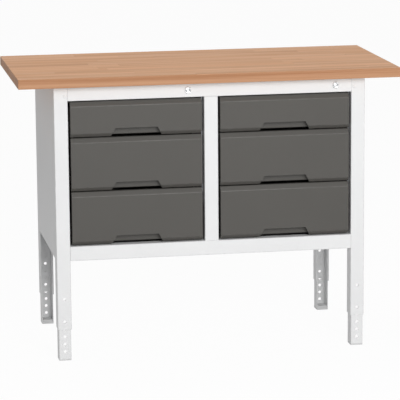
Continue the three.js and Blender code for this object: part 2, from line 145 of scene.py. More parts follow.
paint_links.new(floor_share.outputs[0], floor_mix.inputs[0])
paint_links.new(floor_lit.outputs[0], floor_mix.inputs[1])
paint_links.new(floor_glow.outputs[0], floor_mix.inputs[2])
paint_links.new(floor_mix.outputs[0], paint_nodes["Material Output"].inputs["Surface"])
floor_mesh.materials.append(floor_paint)

# Worktop: a board of beech staves glued side by side, sanded flush and oiled, with its edges eased
# by hand. It shows long grain on its faces, end grain on its ends, and rests on the steel frame.
top_low, top_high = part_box("worktop")
upper_round = 0.0025
lower_round = 0.0015
top_shape = bmesh.new()
top_shape.faces.layers.float.new("worn_edge")
bmesh.ops.create_cube(top_shape, size=1.0)
for point in top_shape.verts:
    for axis in range(3):
        middle = (top_low[axis] + top_high[axis]) / 2
        point.co[axis] = middle + point.co[axis] * (top_high[axis] - top_low[axis])


def round_edges(shape, edges, radius, steps, wear):
    """Rounds some edges of a shape and marks the new faces by the value worn_edge."""
    made = bmesh.ops.bevel(
        shape, geom=edges, offset=radius, segments=steps, profile=0.5, affect="EDGES",
        clamp_overlap=True, loop_slide=False,
    )
    worn = shape.faces.layers.float["worn_edge"]
    for face in made["faces"]:
        face[worn] = wear


def flat_and_round(mesh):
    """Shades flat faces flat and lets the rounded edges between them run smoothly into both."""
    rounded = [mark.value > 0 for mark in mesh.attributes["worn_edge"].data]
    flat_around = {}
    round_around = {}
    for face in mesh.polygons:
        face.use_smooth = True
        around = round_around if rounded[face.index] else flat_around
        for corner in face.vertices:
            around.setdefault(corner, []).append(face.normal.copy())
    widest_turn = math.cos(math.radians(53))
    normals = []
    for face in mesh.polygons:
        for corner in face.vertices:
            normal = face.normal.copy()
            if rounded[face.index]:
                flats = [n for n in flat_around.get(corner, []) if n.dot(face.normal) > widest_turn]
                rounds = [n for n in round_around[corner] if n.dot(face.normal) > widest_turn]
                if flats:
                    normal = max(flats, key=face.normal.dot)
                else:
                    normal = sum(rounds, Vector()).normalized()
            normals.append(normal)
    mesh.normals_split_custom_set(normals)


def new_piece(name, shape, material):
    """Turns a bmesh into a linked object of its own with one material."""
    mesh = bpy.data.meshes.new(name)
    shape.to_mesh(mesh)
    shape.free()
    mesh.materials.append(material)
    flat_and_round(mesh)
    piece = bpy.data.objects.new(name, mesh)
    bpy.context.scene.collection.objects.link(piece)
    return piece


upper_edges = [e for e in top_shape.edges if all(v.co.z > top_high.z - 0.001 for v in e.verts)]
round_edges(top_shape, upper_edges, upper_round, steps=4, wear=1.0)
square_edges = [e for e in top_shape.edges if e.calc_face_angle(0.0) > math.radians(60)]
round_edges(top_shape, square_edges, lower_round, steps=3, wear=1.0)

beech = bpy.data.materials.new("oiled_beech_staves")
beech.use_nodes = True
wood = beech.node_tree.nodes
wood_links = beech.node_tree.links
oiled = wood["Principled BSDF"]
oiled.inputs["Specular IOR Level"].default_value = 0.25


def wood_math(operation, first, second):
    """One arithmetic step of the beech; a number is set on the socket, an output is linked."""
    step = wood.new("ShaderNodeMath")
    step.operation = operation
    for socket, value in zip(step.inputs, (first, second)):
        if isinstance(value, (int, float)):
            socket.default_value = value
        else:
            wood_links.new(value, socket)
    return step.outputs[0]


def wood_tint(share, below, above, blend="MIX"):
    """Lays one colour over another by a share from 0 to 1."""
    mix = wood.new("ShaderNodeMix")
    mix.data_type = "RGBA"
    mix.blend_type = blend
    for socket, value in ((mix.inputs[0], share), (mix.inputs[6], below), (mix.inputs[7], above)):
        if isinstance(value, (int, float)):
            socket.default_value = value
        elif isinstance(value, tuple):
            socket.default_value = (*value, 1.0)
        else:
            wood_links.new(value, socket)
    return mix.outputs[2]


wood_place = wood.new("ShaderNodeTexCoord")
wood_axes = wood.new("ShaderNodeSeparateXYZ")
wood_links.new(wood_place.outputs["Object"], wood_axes.inputs[0])
grain_along, grain_across, grain_through = wood_axes.outputs

# Staves 43 mm wide, each row of them joined end to end at places of its own. Rows are counted from
# the front edge of the board.
stave_width = 0.043
stave_length = 0.62
middle_to_front = 0.3
from_front = wood_math("ADD", grain_across, middle_to_front)
row_number = wood_math("FLOOR", wood_math("DIVIDE", from_front, stave_width), 0.0)
row_shift = wood.new("ShaderNodeTexWhiteNoise")
row_shift.noise_dimensions = "1D"
wood_links.new(row_number, row_shift.inputs["W"])
row_start = wood_math("MULTIPLY", row_shift.outputs["Value"], stave_length)
stave_place = wood.new("ShaderNodeCombineXYZ")
wood_links.new(wood_math("ADD", grain_along, row_start), stave_place.inputs["X"])
wood_links.new(from_front, stave_place.inputs["Y"])
staves = wood.new("ShaderNodeTexBrick")
staves.offset = 0.5
staves.inputs["Color1"].default_value = (0.0, 0.0, 0.0, 1.0)
staves.inputs["Color2"].default_value = (1.0, 1.0, 1.0, 1.0)
staves.inputs["Mortar"].default_value = (0.5, 0.5, 0.5, 1.0)
staves.inputs["Scale"].default_value = 1.0
staves.inputs["Mortar Size"].default_value = 0.00035
staves.inputs["Mortar Smooth"].default_value = 0.3
staves.inputs["Brick Width"].default_value = stave_length
staves.inputs["Row Height"].default_value = stave_width
wood_links.new(stave_place.outputs[0], staves.inputs["Vector"])
stave_chance = wood.new("ShaderNodeSeparateColor")
wood_links.new(staves.outputs["Color"], stave_chance.inputs[0])
chance = stave_chance.outputs[0]


def wood_noise(along_scale, across_scale, detail, roughness, distortion):
    """Noise drawn out along the grain, different in each stave."""
    place = wood.new("ShaderNodeCombineXYZ")
    stave_offset = wood_math("MULTIPLY", chance, 9.0)
    along = wood_math("MULTIPLY", grain_along, along_scale)
    across = wood_math("MULTIPLY", grain_across, across_scale)
    wood_links.new(wood_math("ADD", along, stave_offset), place.inputs["X"])
    wood_links.new(wood_math("ADD", across, stave_offset), place.inputs["Y"])
    wood_links.new(wood_math("MULTIPLY", grain_through, across_scale), place.inputs["Z"])
    noise = wood.new("ShaderNodeTexNoise")
    noise.inputs["Scale"].default_value = 1.0
    noise.inputs["Detail"].default_value = detail
    noise.inputs["Roughness"].default_value = roughness
    noise.inputs["Distortion"].default_value = distortion
    wood_links.new(place.outputs[0], noise.inputs["Vector"])
    return noise.outputs["Fac"]


def wood_range(value, low, high, to_low, to_high):
    """Maps a value from one range to another and clamps it."""
    ranged = wood.new("ShaderNodeMapRange")
    for name, number in (("From Min", low), ("From Max", high), ("To Min", to_low), ("To Max", to_high)):
        ranged.inputs[name].default_value = number
    wood_links.new(value, ranged.inputs["Value"])
    return ranged.outputs[0]


pale_beech = (0.705, 0.362, 0.160)
dark_beech = (0.570, 0.268, 0.106)
line_brown = (0.470, 0.216, 0.086)
fleck_brown = (0.400, 0.215, 0.120)
glue_brown = (0.300, 0.165, 0.090)
darker_stave = (0.93, 0.915, 0.90)
lighter_stave = (1.05, 1.04, 1.03)
streaks = wood_noise(along_scale=1.6, across_scale=48.0, detail=4.0, roughness=0.55, distortion=0.35)
fine_lines = wood_noise(along_scale=5.0, across_scale=420.0, detail=3.0, roughness=0.6, distortion=0.2)
flecks = wood_noise(along_scale=130.0, across_scale=1500.0, detail=1.0, roughness=0.5, distortion=0.0)
long_grain = wood_tint(wood_range(streaks, 0.34, 0.68, 0.0, 1.0), pale_beech, dark_beech)
long_grain = wood_tint(wood_range(fine_lines, 0.50, 0.72, 0.0, 0.45), long_grain, line_brown)
long_grain = wood_tint(wood_range(flecks, 0.60, 0.72, 0.0, 0.30), long_grain, fleck_brown)
stave_tint = wood_tint(chance, darker_stave, lighter_stave)
long_grain = wood_tint(1.0, long_grain, stave_tint, "MULTIPLY")
long_grain = wood_tint(wood_math("MULTIPLY", staves.outputs["Fac"], 0.35), long_grain, glue_brown)

# The front and back faces cut the year rings flat and show redder bands; the ends show pores.
facing = wood.new("ShaderNodeSeparateXYZ")
wood_links.new(wood_place.outputs["Normal"], facing.inputs[0])
turned_to = (0.55, 0.8)  # from here to here, a face begins to look along an axis
edge_face = wood_range(wood_math("ABSOLUTE", facing.outputs["Y"], 0.0), *turned_to, 0.0, 1.0)
end_face = wood_range(wood_math("ABSOLUTE", facing.outputs["X"], 0.0), *turned_to, 0.0, 1.0)
edge_pale = (0.560, 0.306, 0.176)
edge_dark = (0.400, 0.186, 0.090)
end_pale = (0.540, 0.290, 0.160)
end_dark = (0.350, 0.174, 0.090)
bands = wood_noise(along_scale=0.9, across_scale=120.0, detail=3.0, roughness=0.6, distortion=0.5)
edge_grain = wood_tint(wood_range(bands, 0.36, 0.62, 0.0, 1.0), edge_pale, edge_dark)
pores = wood_noise(along_scale=30.0, across_scale=900.0, detail=2.0, roughness=0.6, distortion=0.0)
end_grain = wood_tint(wood_range(pores, 0.38, 0.66, 0.0, 1.0), end_pale, end_dark)
end_grain = wood_tint(1.0, end_grain, stave_tint, "MULTIPLY")
wood_colour = wood_tint(wood_math("MULTIPLY", edge_face, 0.85), long_grain, edge_grain)
wood_colour = wood_tint(end_face, wood_colour, end_grain)
wood_links.new(wood_colour, oiled.inputs["Base Color"])
wood_links.new(wood_range(streaks, 0.3, 0.7, 0.40, 0.54), oiled.inputs["Roughness"])
wood_relief = wood.new("ShaderNodeBump")
wood_relief.inputs["Strength"].default_value = 0.25
wood_relief.inputs["Distance"].default_value = 0.0002
wood_links.new(wood_math("ADD", fine_lines, flecks), wood_relief.inputs["Height"])
wood_links.new(wood_relief.outputs[0], oiled.inputs["Normal"])

worktop = new_piece("beech_worktop", top_shape, beech)
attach(worktop, "frame")
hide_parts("worktop")

# Posts, legs, rails and centre post: folded steel channels, powder coated light grey. Posts and rails
# are welded into one frame; the legs slide in the posts and have punched index holes and a slot.
node_body = {}
for body, body_nodes in frame["record"]["behaviour"]["bodies"].items():
    for node in body_nodes:
        node_body[node] = body
x_axis, y_axis, z_axis = 0, 1, 2
arc_steps = 5
bend_wear = 0.5
hole_wear = 0.6


def rounded_outline(corners):
    """Goes round right-angled corners (a, b, radius) and gives the points of their arcs."""
    points = []
    for k, (a, b, radius) in enumerate(corners):
        here = Vector((a, b))
        before = (Vector(corners[k - 1][:2]) - here).normalized()
        after = (Vector(corners[(k + 1) % len(corners)][:2]) - here).normalized()
        centre = here + radius * (before + after)
        for step in range(arc_steps + 1):
            turn = math.radians(90 * step / arc_steps)
            points.append(centre - radius * (math.cos(turn) * after + math.sin(turn) * before))
    return points


def arc_wear(outline, wear):
    """Wear on the arcs of a rounded outline, none on the straight sides between them."""
    return [0.0 if (k + 1) % (arc_steps + 1) == 0 else wear for k in range(len(outline))]


def drawn_out(outline, along, start, end, wear):
    """Draws an outline in two axes out along the third, with a wear value for each of its sides."""
    shape = bmesh.new()
    worn = shape.faces.layers.float.new("worn_edge")
    ends = []
    for level in (start, end):
        places = [list(point) for point in outline]
        for place in places:
            place.insert(along, level)
        ends.append([shape.verts.new(place) for place in places])
    shape.faces.new(ends[0])
    shape.faces.new(reversed(ends[1]))
    for k, side_wear in enumerate(wear):
        after = (k + 1) % len(outline)
        face = shape.faces.new((ends[0][after], ends[0][k], ends[1][k], ends[1][after]))
        face[worn] = side_wear
    bmesh.ops.recalc_face_normals(shape, faces=shape.faces)
    return shape


def folded_channel(node, along, across, web_high, sheet, end_gap=0.0):
    """A CAD part's channel drawn anew inside its box, with round bends and eased edges.

    The channel runs along one axis, its web spans another, and the web stands at the high or low end
    of the third."""
    low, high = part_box(node)
    depth = 3 - along - across
    web, lip = (high[depth], low[depth]) if web_high else (low[depth], high[depth])
    inside = web + math.copysign(sheet, lip - web)
    first, last = low[across], high[across]
    eased = 0.0004
    inner_bend = 0.0006
    outer_bend = inner_bend + sheet
    outline = rounded_outline([
        (first, lip, eased), (first, web, outer_bend), (last, web, outer_bend), (last, lip, eased),
        (last - sheet, lip, eased), (last - sheet, inside, inner_bend),
        (first + sheet, inside, inner_bend), (first + sheet, lip, eased),
    ])
    if across > depth:
        outline = [(b, a) for a, b in outline]
    start = low[along] + end_gap
    end = high[along] - end_gap
    return drawn_out(outline, along, start, end, arc_wear(outline, bend_wear))


def gathered(shapes):
    """Several shapes as one, each still closed in itself."""
    whole = bmesh.new()
    whole.faces.layers.float.new("worn_edge")
    for shape in shapes:
        part = bpy.data.meshes.new("part")
        shape.to_mesh(part)
        shape.free()
        whole.from_mesh(part)
        bpy.data.meshes.remove(part)
    return whole


def cut_out(shape, cutters):
    """Cuts closed shapes, which don't touch each other, out of a shape."""
    holders = []
    for name, part in (("blank", shape), ("cutters", gathered(cutters))):
        mesh = bpy.data.meshes.new(name)
        part.to_mesh(mesh)
        part.free()
        holder = bpy.data.objects.new(name, mesh)
        bpy.context.scene.collection.objects.link(holder)
        holders.append(holder)
    cut = holders[0].modifiers.new("cut", "BOOLEAN")
    cut.object = holders[1]
    cut.operation = "DIFFERENCE"
    cut.solver = "EXACT"
    depsgraph = bpy.context.evaluated_depsgraph_get()
    mesh = bpy.data.meshes.new_from_object(holders[0].evaluated_get(depsgraph))
    holders[0].modifiers.remove(cut)
    for holder in holders:
        bpy.data.objects.remove(holder)
    rest = bmesh.new()
    rest.from_mesh(mesh)
    bpy.data.meshes.remove(mesh)
    return rest


def round_hole(along, start, end, a, b, radius):
    """A rod along an axis at a place in the other two, to cut a hole with."""
    sides = 32
    turns = [2 * math.pi * k / sides for k in range(sides)]
    outline = [(a + radius * math.cos(turn), b + radius * math.sin(turn)) for turn in turns]
    return drawn_out(outline, along, start, end, [hole_wear] * sides)


def powder_coat(name, colour, worn_colour, gloss):
    """Baked powder coat: a fine pebbled skin, slightly uneven in tone, thinner along the edges."""
    darker, lighter = 0.955, 1.035
    coat = bpy.data.materials.new(name)
    coat.use_nodes = True
    nodes = coat.node_tree.nodes
    links = coat.node_tree.links
    skin = nodes["Principled BSDF"]
    skin.inputs["Specular IOR Level"].default_value = 0.4
    place = nodes.new("ShaderNodeTexCoord")
    pebbles = nodes.new("ShaderNodeTexNoise")
    pebbles.inputs["Scale"].default_value = 1100.0
    pebbles.inputs["Detail"].default_value = 2.0
    cloud = nodes.new("ShaderNodeTexNoise")
    cloud.inputs["Scale"].default_value = 5.0
    cloud.inputs["Detail"].default_value = 5.0
    scuffs = nodes.new("ShaderNodeTexNoise")
    scuffs.inputs["Scale"].default_value = 45.0
    scuffs.inputs["Detail"].default_value = 6.0
    for noise in (pebbles, cloud, scuffs):
        links.new(place.outputs["Object"], noise.inputs["Vector"])
    tone = nodes.new("ShaderNodeMix")
    tone.data_type = "RGBA"
    tone.inputs[6].default_value = (*[c * darker for c in colour], 1.0)
    tone.inputs[7].default_value = (*[c * lighter for c in colour], 1.0)
    links.new(cloud.outputs["Fac"], tone.inputs[0])
    worn = nodes.new("ShaderNodeAttribute")
    worn.attribute_name = "worn_edge"
    patches = nodes.new("ShaderNodeMapRange")
    patches.inputs["From Min"].default_value = 0.35
    patches.inputs["From Max"].default_value = 0.70
    links.new(scuffs.outputs["Fac"], patches.inputs["Value"])
    wear = nodes.new("ShaderNodeMath")
    wear.operation = "MULTIPLY"
    links.new(worn.outputs["Fac"], wear.inputs[0])
    links.new(patches.outputs[0], wear.inputs[1])
    coat_colour = nodes.new("ShaderNodeMix")
    coat_colour.data_type = "RGBA"
    coat_colour.inputs[7].default_value = (*worn_colour, 1.0)
    links.new(wear.outputs[0], coat_colour.inputs[0])
    links.new(tone.outputs[2], coat_colour.inputs[6])
    links.new(coat_colour.outputs[2], skin.inputs["Base Color"])
    sheen = nodes.new("ShaderNodeMapRange")
    sheen.inputs["From Min"].default_value = 0.3
    sheen.inputs["From Max"].default_value = 0.7
    sheen.inputs["To Min"].default_value = gloss - 0.05
    sheen.inputs["To Max"].default_value = gloss + 0.07
    links.new(cloud.outputs["Fac"], sheen.inputs["Value"])
    links.new(sheen.outputs[0], skin.inputs["Roughness"])
    relief = nodes.new("ShaderNodeBump")
    relief.inputs["Strength"].default_value = 0.12
    relief.inputs["Distance"].default_value = 0.0002
    links.new(pebbles.outputs["Fac"], relief.inputs["Height"])
    links.new(relief.outputs[0], skin.inputs["Normal"])
    return coat


light_grey = (0.800, 0.803, 0.806)
worn_light_grey = (0.62, 0.623, 0.626)
light_coat = powder_coat("light_grey_powder_coat", light_grey, worn_light_grey, gloss=0.48)


def place_piece(name, shape, material, node):
    """Makes a shape a piece that stands in for a CAD part on the same body."""
    piece = new_piece(name, shape, material)
    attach(piece, node_body[node])
    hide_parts(node)


post_sheet = 0.0020
thin_sheet = 0.0015
hole_radius = 0.0050
hole_pitch = 0.0250
first_hole = 0.0300
leg_hole_count = 12
post_holes = (4, 7)
bolt_height = 0.3545
bolt_hole_radius = 0.0044
leg_travel = 0.100
cut_past = 0.001
corner_names = ("front_left", "front_right", "rear_left", "rear_right")
for corner in corner_names:
    rear = corner.startswith("rear")
    left = corner.endswith("left")
    for kind, hole_numbers in (("post", post_holes), ("leg", range(leg_hole_count))):
        node = f"{kind}_{corner}"
        low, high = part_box(node)
        middle_x = (low.x + high.x) / 2
        web_y = (high.y - post_sheet, high.y) if rear else (low.y, low.y + post_sheet)
        cutters = [
            round_hole(y_axis, web_y[0] - cut_past, web_y[1] + cut_past,
                       middle_x, first_hole + number * hole_pitch, hole_radius)
            for number in hole_numbers
        ]
        flange_x = (high.x - post_sheet, high.x) if left else (low.x, low.x + post_sheet)
        flange_cut = (flange_x[0] - cut_past, flange_x[1] + cut_past)
        post_low, post_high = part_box("post_" + corner)
        bolt_y = (post_low.y + post_high.y) / 2
        if kind == "post":
            cutters.append(round_hole(x_axis, *flange_cut, bolt_y, bolt_height, bolt_hole_radius))
        else:
            slot_y = (bolt_y - bolt_hole_radius, bolt_y + bolt_hole_radius)
            slot_z = (bolt_height - leg_travel - bolt_hole_radius, bolt_height + bolt_hole_radius)
            slot = rounded_outline([
                (slot_y[i], slot_z[j], bolt_hole_radius) for i, j in ((0, 0), (1, 0), (1, 1), (0, 1))
            ])
            cutters.append(drawn_out(slot, x_axis, *flange_cut, [hole_wear] * len(slot)))
        channel = cut_out(folded_channel(node, z_axis, x_axis, rear, post_sheet), cutters)
        place_piece(node + "_finished", channel, light_coat, node)

face_y = -0.268
lock_place = {"left": (-0.0755, face_y, 0.8765), "right": (0.412, face_y, 0.8765)}
lock_hole_radius = 0.0093
lock_holes = [
    round_hole(y_axis, face_y - cut_past, face_y + thin_sheet + cut_past, x, z, lock_hole_radius)
    for x, _, z in lock_place.values()
]
top_rail = cut_out(folded_channel("rail_top", x_axis, z_axis, False, thin_sheet), lock_holes)
place_piece("rail_top_finished", top_rail, light_coat, "rail_top")
for node, along, across, web_high, sheet in (
    ("rail_bottom", x_axis, z_axis, False, thin_sheet),
    ("rail_rear", x_axis, z_axis, True, thin_sheet),
    ("centre_post", z_axis, x_axis, False, post_sheet),
):
    channel = folded_channel(node, along, across, web_high, sheet)
    place_piece(node + "_finished", channel, light_coat, node)

# Cabinet walls: thin folded sheets between the posts, coated with the frame. The outer panels, the
# liners, the partition and the base are hooked and spot welded in; the back is a flat sheet.
panel_seam = 0.0007
for node, along, across, web_high, end_gap in (
    ("side_panel_left", y_axis, z_axis, False, panel_seam),
    ("side_panel_right", y_axis, z_axis, True, panel_seam),
    ("liner_left", y_axis, z_axis, True, 0.0),
    ("liner_right", y_axis, z_axis, False, 0.0),
    ("base_panel", y_axis, x_axis, False, 0.0),
    ("partition", z_axis, x_axis, True, 0.0),
):
    channel = folded_channel(node, along, across, web_high, thin_sheet, end_gap)
    place_piece(node + "_finished", channel, light_coat, node)


def wide_beside(edge, face):
    """How far it is across a face from the middle of one of its edges to the next edge."""
    least_width = 0.0001
    loop = next(turn for turn in face.loops if turn.edge == edge)
    run = (loop.link_loop_next.vert.co - loop.vert.co).normalized()
    inward = face.normal.cross(run)
    middle = (edge.verts[0].co + edge.verts[1].co) / 2
    widths = []
    for other in face.edges:
        first, second = (corner.co - middle for corner in other.verts)
        if other != edge and (first.dot(run) > 0) != (second.dot(run) > 0):
            share = first.dot(run) / (first.dot(run) - second.dot(run))
            width = first.lerp(second, share).dot(inward)
            if width > least_width:
                widths.append(width)
    return min(widths, default=0.0)


def soften(shape, bend, ease):
    """Rounds the wide outer bends of a folded shape, and eases its cut edges."""
    sheet_edge = 0.0031
    least_bend = math.radians(25)
    least_cut = math.radians(50)
    bends = [
        e for e in shape.edges
        if e.is_manifold and e.is_convex and e.calc_face_angle() > least_bend
        and min(wide_beside(e, f) for f in e.link_faces) > sheet_edge
    ]
    if bend > 0:
        round_edges(shape, bends, bend, steps=4, wear=bend_wear)
    cuts = [e for e in shape.edges if e.is_manifold and e.is_convex and e.calc_face_angle() > least_cut]
    round_edges(shape, cuts, ease, steps=2, wear=1.0)
    bmesh.ops.dissolve_degenerate(shape, dist=0.00001, edges=shape.edges)


def softened(node, bend, ease):
    """A softened copy of a CAD part, whose flat faces are joined up first."""
    shape = bmesh.new()
    shape.from_mesh(frame["nodes"][node].data)
    shape.faces.layers.float.new("worn_edge")
    bmesh.ops.remove_doubles(shape, verts=shape.verts, dist=0.000002)
    bmesh.ops.dissolve_limit(
        shape, angle_limit=math.radians(1), use_dissolve_boundaries=False,
        verts=shape.verts, edges=shape.edges,
    )
    soften(shape, bend, ease)
    return shape


def finish_node(node, bend, ease, material):
    """Puts a softened copy in the place of a CAD part, on the same body."""
    place_piece(node + "_finished", softened(node, bend, ease), material, node)


finish_node("back_panel", bend=0.0, ease=0.0005, material=light_coat)

# Feet: light grey plugs of moulded plastic, pressed into the lower ends of the legs. A flat sole
# with the leg's own outline keeps the steel off the floor.
foot_plastic = bpy.data.materials.new("moulded_foot_plastic")
foot_plastic.use_nodes = True
foot_nodes = foot_plastic.node_tree.nodes
foot_links = foot_plastic.node_tree.links
foot_skin = foot_nodes["Principled BSDF"]
foot_place = foot_nodes.new("ShaderNodeTexCoord")
foot_spark = foot_nodes.new("ShaderNodeTexNoise")
foot_spark.inputs["Scale"].default_value = 1600.0
foot_dust = foot_nodes.new("ShaderNodeTexNoise")
foot_dust.inputs["Scale"].default_value = 40.0
foot_dust.inputs["Detail"].default_value = 5.0
foot_tone = foot_nodes.new("ShaderNodeMix")
foot_tone.data_type = "RGBA"
foot_tone.inputs[6].default_value = (0.600, 0.603, 0.606, 1.0)
foot_tone.inputs[7].default_value = (0.700, 0.702, 0.704, 1.0)
foot_relief = foot_nodes.new("ShaderNodeBump")
foot_relief.inputs["Strength"].default_value = 0.2
foot_relief.inputs["Distance"].default_value = 0.0002
foot_sheen = foot_nodes.new("ShaderNodeMapRange")
foot_sheen.inputs["To Min"].default_value = 0.50
foot_sheen.inputs["To Max"].default_value = 0.70
for noise in (foot_spark, foot_dust):
    foot_links.new(foot_place.outputs["Object"], noise.inputs["Vector"])
foot_links.new(foot_dust.outputs["Fac"], foot_tone.inputs[0])
foot_links.new(foot_tone.outputs[2], foot_skin.inputs["Base Color"])
foot_links.new(foot_dust.outputs["Fac"], foot_sheen.inputs["Value"])
foot_links.new(foot_sheen.outputs[0], foot_skin.inputs["Roughness"])
foot_links.new(foot_spark.outputs["Fac"], foot_relief.inputs["Height"])
foot_links.new(foot_relief.outputs[0], foot_skin.inputs["Normal"])
for corner in corner_names:
    finish_node("foot_" + corner, bend=0.0012, ease=0.0008, material=foot_plastic)

# Clamp bolts, runners and locking bars: zinc plated steel. The bolts pinch leg and post together,
# the runners are screwed to the cabinet walls, and each bar slides up and down behind a lock.
zinc = bpy.data.materials.new("zinc_plated_steel")
zinc.use_nodes = True
zinc_nodes = zinc.node_tree.nodes
zinc_links = zinc.node_tree.links
zinc_skin = zinc_nodes["Principled BSDF"]
zinc_skin.inputs["Metallic"].default_value = 1.0
zinc_place = zinc_nodes.new("ShaderNodeTexCoord")
zinc_crystals = zinc_nodes.new("ShaderNodeTexVoronoi")
zinc_crystals.inputs["Scale"].default_value = 160.0
zinc_cloud = zinc_nodes.new("ShaderNodeTexNoise")
zinc_cloud.inputs["Scale"].default_value = 60.0
zinc_cloud.inputs["Detail"].default_value = 5.0
zinc_tone = zinc_nodes.new("ShaderNodeMix")
zinc_tone.data_type = "RGBA"
zinc_tone.inputs[6].default_value = (0.560, 0.575, 0.600, 1.0)
zinc_tone.inputs[7].default_value = (0.720, 0.730, 0.740, 1.0)
zinc_sheen = zinc_nodes.new("ShaderNodeMapRange")
zinc_sheen.inputs["To Min"].default_value = 0.26
zinc_sheen.inputs["To Max"].default_value = 0.50
zinc_grey = zinc_nodes.new("ShaderNodeSeparateColor")
for pattern in (zinc_crystals, zinc_cloud):
    zinc_links.new(zinc_place.outputs["Object"], pattern.inputs["Vector"])
zinc_links.new(zinc_crystals.outputs["Color"], zinc_grey.inputs[0])
zinc_links.new(zinc_grey.outputs[0], zinc_tone.inputs[0])
zinc_links.new(zinc_tone.outputs[2], zinc_skin.inputs["Base Color"])
zinc_links.new(zinc_cloud.outputs["Fac"], zinc_sheen.inputs["Value"])
zinc_links.new(zinc_sheen.outputs[0], zinc_skin.inputs["Roughness"])
sides = ("left", "right")
levels = ("bottom", "middle", "top")
for corner in corner_names:
    finish_node("clamp_bolt_" + corner, bend=0.0, ease=0.0006, material=zinc)
for side in sides:
    finish_node("locking_bar_" + side, bend=0.0012, ease=0.0003, material=zinc)
    for level in levels:
        for hand in ("l", "r"):
            node = f"runner_{side}_{level}_{hand}"
            channel = folded_channel(node, y_axis, z_axis, hand == "r", thin_sheet)
            place_piece(node + "_finished", channel, zinc, node)

# Drawer fronts: folded pans of sheet steel, bevelled above and below, with a finger cut-out in the
# lower edge. They are powder coated anthracite and screwed to their trays.
anthracite = (0.079, 0.075, 0.068)
worn_anthracite = (0.124, 0.120, 0.112)
dark_coat = powder_coat("anthracite_powder_coat", anthracite, worn_anthracite, gloss=0.46)
for side in sides:
    for level in levels:
        front = f"drawer_front_{side}_{level}"
        finish_node(front, bend=0.0018, ease=0.0004, material=dark_coat)

# Drawer trays: open boxes of thin sheet steel with round welded corners, coated like the fronts. A
# folded rail along each side slides in the cabinet's runners, and a catch stands out on the right.
tray_half_width = 0.20825
tray_corner = 0.004
tray_floor_bend = 0.003
rail_lift = 0.010
rail_span = 0.024
rail_reach = 0.0086
rail_web = 0.0012
catch_behind_front = 0.0169
catch_below_rim = 0.012
catch_thickness = 0.002
catch_height = 0.010
tray_ease = 0.0004
tray_wear = 0.4
tightest_corner = 0.0006
bay_centre = {"left": -0.24375, "right": 0.24375}


def tray_box(low, high):
    """An open box: up its outside, over a round rim and down its inside, with a bend at the floor."""
    half_sheet = thin_sheet / 2
    quarter_turn = [math.radians(22.5 * step) for step in range(5)]
    half_turn = [math.radians(36 * step) for step in range(6)]
    outside = [
        (tray_floor_bend * (1 - math.sin(a)), low[2] + tray_floor_bend * (1 - math.cos(a)))
        for a in quarter_turn
    ]
    rim = [
        (half_sheet * (1 - math.cos(a)), high[2] - half_sheet + half_sheet * math.sin(a))
        for a in half_turn
    ]
    inner_bend = tray_floor_bend - thin_sheet
    inside = [
        (thin_sheet + inner_bend * (1 - math.sin(a)), low[2] + thin_sheet + inner_bend * (1 - math.cos(a)))
        for a in reversed(quarter_turn)
    ]
    shape = bmesh.new()
    worn = shape.faces.layers.float.new("worn_edge")
    levels_up = outside + rim + inside
    walls = (len(outside) - 1, len(outside) + len(rim) - 1)
    loops = []
    for inset, height in levels_up:
        radius = max(tray_corner - inset, tightest_corner)
        x = (low[0] + inset, high[0] - inset)
        y = (low[1] + inset, high[1] - inset)
        loop = rounded_outline([(x[i], y[j], radius) for i, j in ((0, 0), (1, 0), (1, 1), (0, 1))])
        loops.append([shape.verts.new((*point, height)) for point in loop])
    shape.faces.new(reversed(loops[0]))
    shape.faces.new(loops[-1])
    count = len(loops[0])
    for band, (below, above) in enumerate(zip(loops, loops[1:])):
        for k in range(count):
            after = (k + 1) % count
            face = shape.faces.new((below[k], below[after], above[after], above[k]))
            straight = (k + 1) % (arc_steps + 1) == 0
            face[worn] = 0.0 if straight and band in walls else tray_wear
    return shape


for side in sides:
    for level in levels:
        node = f"drawer_tray_{side}_{level}"
        node_low, node_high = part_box(node)
        low = (bay_centre[side] - tray_half_width, node_low.y, node_low.z)
        high = (bay_centre[side] + tray_half_width, node_high.y, node_high.z)
        shapes = [tray_box(low, high)]
        rail_low = low[2] + rail_lift
        rail_high = rail_low + rail_span
        for wall, out in ((low[0], -1), (high[0], 1)):
            inner = wall - out * thin_sheet / 2
            web = wall + out * rail_web
            tip = wall + out * rail_reach
            upper_flange = rail_high - thin_sheet
            lower_flange = rail_low + thin_sheet
            slide_rail = drawn_out([
                (inner, rail_low), (tip, rail_low), (tip, lower_flange), (web, lower_flange),
                (web, upper_flange), (tip, upper_flange), (tip, rail_high), (inner, rail_high),
            ], y_axis, low[1], high[1], [0.0] * 8)
            soften(slide_rail, bend=0.0, ease=tray_ease)
            shapes.append(slide_rail)
        catch_low = high[2] - catch_below_rim
        catch_high = catch_low + catch_height
        catch_root = high[0] - thin_sheet / 2
        catch_tip = high[0] + rail_reach
        catch_y = low[1] + catch_behind_front
        catch = drawn_out([
            (catch_root, catch_low), (catch_tip, catch_low),
            (catch_tip, catch_high), (catch_root, catch_high),
        ], y_axis, catch_y, catch_y + catch_thickness, [0.0] * 4)
        soften(catch, bend=0.0, ease=tray_ease)
        shapes.append(catch)
        place_piece(f"tray_{side}_{level}", gathered(shapes), dark_coat, node)

